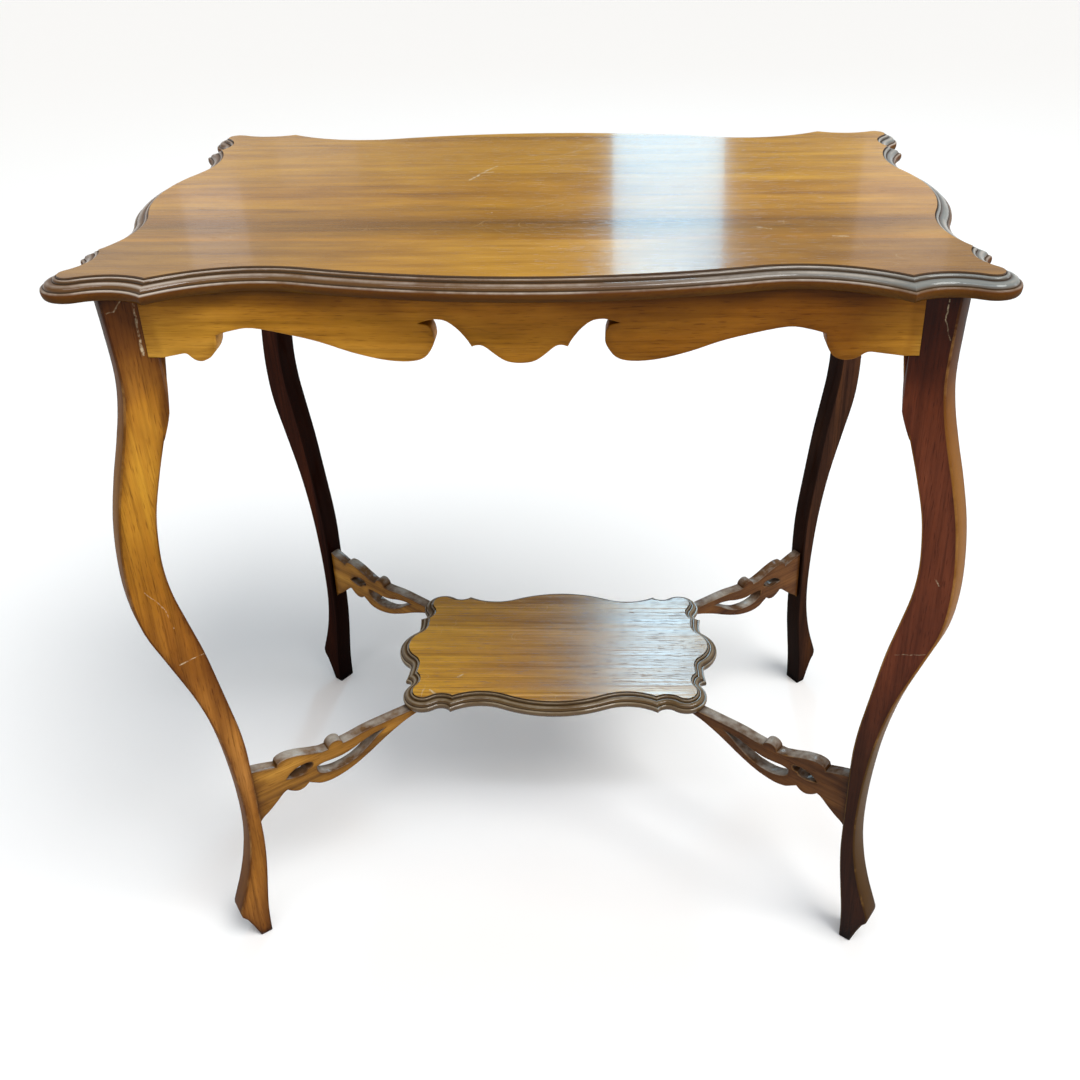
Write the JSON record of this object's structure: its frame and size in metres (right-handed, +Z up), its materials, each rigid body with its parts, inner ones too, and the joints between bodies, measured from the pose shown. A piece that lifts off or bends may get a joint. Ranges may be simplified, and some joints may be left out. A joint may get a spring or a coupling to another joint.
{
  "type": "centre table",
  "caption": "Small wooden centre table with a serpentine moulded top, fret-cut aprons, flat cut cabriole legs and a low serpentine shelf held on pierced diagonal arms.",
  "frame": {"origin": "On the floor, in the middle of the overall width and depth", "axes": "+Z up, +X to the right along the length seen from the front, front towards -Y"},
  "size_m": [0.7068, 0.4564, 0.71],
  "materials": {
    "polished_top": "french polished, glossy, golden brown",
    "apron_wood": "polished, golden olive brown",
    "leg_wood": "polished, red brown with golden patches",
    "arm_wood": "polished, warm brown",
    "block_wood": "raw, planed",
    "dowel_wood": "raw, turned",
    "steel": "dull old wood screws"
  },
  "bodies": {
    "root": {"top_front_board": "polished_top", "top_back_board": "polished_top", "top_dowels": "dowel_wood", "front_apron": "apron_wood", "back_apron": "apron_wood", "left_apron": "apron_wood", "right_apron": "apron_wood", "leg_front_left": "leg_wood", "leg_front_right": "leg_wood", "leg_back_left": "leg_wood", "leg_back_right": "leg_wood", "corner_block_front_left": "block_wood", "corner_block_front_right": "block_wood", "corner_block_back_left": "block_wood", "corner_block_back_right": "block_wood", "glue_block_front_left": "block_wood", "glue_block_front_right": "block_wood", "glue_block_back_left": "block_wood", "glue_block_back_right": "block_wood", "glue_block_left": "block_wood", "glue_block_right": "block_wood", "shelf": "polished_top", "arm_front_left": "arm_wood", "arm_front_right": "arm_wood", "arm_back_left": "arm_wood", "arm_back_right": "arm_wood", "arm_dowels": "dowel_wood", "shelf_screws": "steel", "corner_block_screws": "steel", "top_screws": "steel"}
  },
  "joints": []
}
